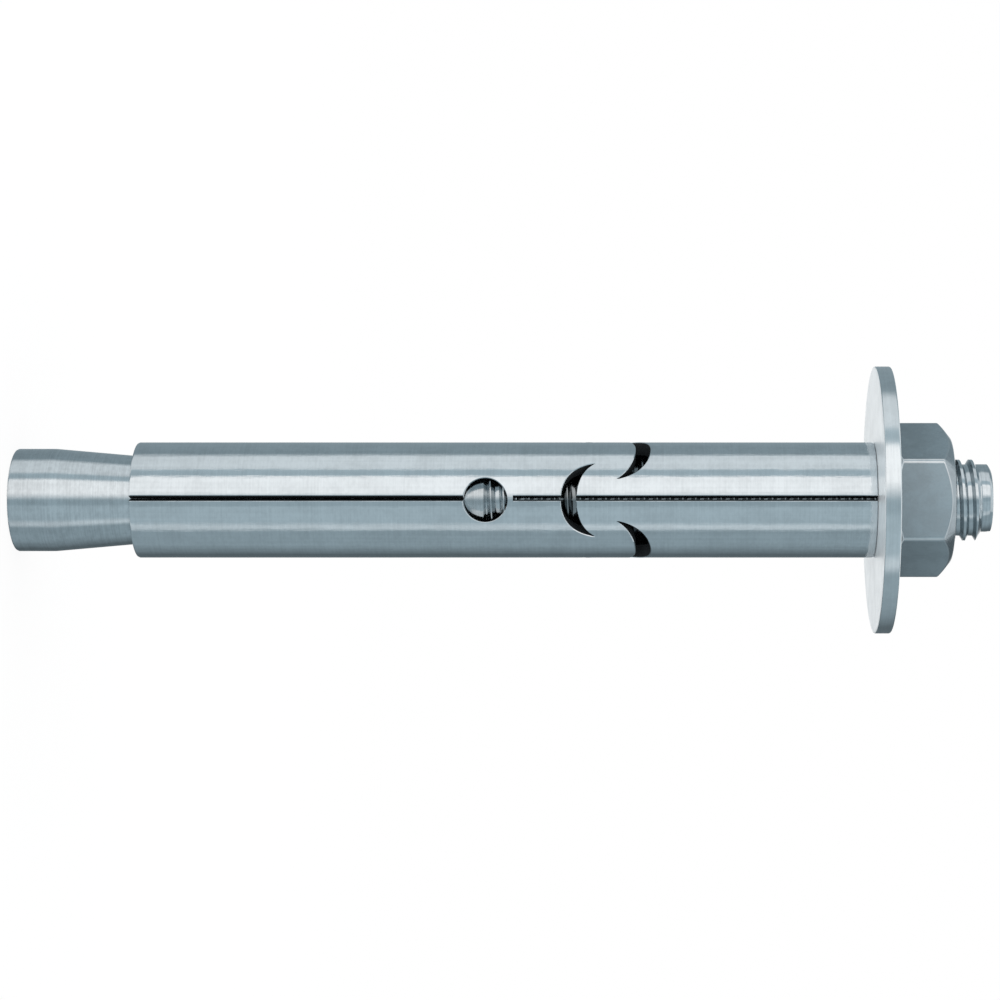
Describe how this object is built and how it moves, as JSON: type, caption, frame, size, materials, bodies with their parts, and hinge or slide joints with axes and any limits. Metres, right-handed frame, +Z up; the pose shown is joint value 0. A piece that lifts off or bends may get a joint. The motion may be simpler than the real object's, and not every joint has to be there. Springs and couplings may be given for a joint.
{
  "type": "sleeve anchor",
  "caption": "Sleeve anchor: a threaded bolt with an expansion cone, a slit sheet sleeve with crescent cuts, a wide plain washer and a hexagon nut.",
  "frame": {"origin": "middle of the flat face of the cone end, on which the anchor stands", "axes": "+Z up along the axis, from the cone towards the nut; the sleeve's slit and round hole and one flat of the nut face -Y"},
  "size_m": [0.037, 0.037, 0.1346],
  "materials": {
    "bolt_steel": "zinc plated, fine turning marks",
    "sleeve_steel": "zinc plated, rolled sheet with lengthwise streaks",
    "washer_steel": "zinc plated, smooth and bright",
    "nut_steel": "zinc plated, satin"
  },
  "bodies": {
    "bolt": {"cone_bolt": "bolt_steel"},
    "sleeve": {"expansion_sleeve": "sleeve_steel"},
    "washer": {"washer": "washer_steel"},
    "nut": {"hex_nut": "nut_steel"}
  },
  "joints": [
    {"name": "sleeve_spin", "type": "hinge", "parent": "bolt", "child": "sleeve", "pos_m": [0, 0, 0.06763], "axis": [0, 0, 1], "continuous": true},
    {"name": "washer_slide", "type": "slide", "parent": "bolt", "child": "washer", "axis": [0, 0, 1], "range_m": [0, 0.01225]},
    {"name": "nut_spin", "type": "hinge", "parent": "washer", "child": "nut", "pos_m": [0, 0, 0.12073], "axis": [0, 0, 1], "range_deg": [0, 2520]}
  ],
  "couplings": [
    {"joint": "nut_spin", "follows": "washer_slide", "rad_per_m": 3590.4}
  ]
}
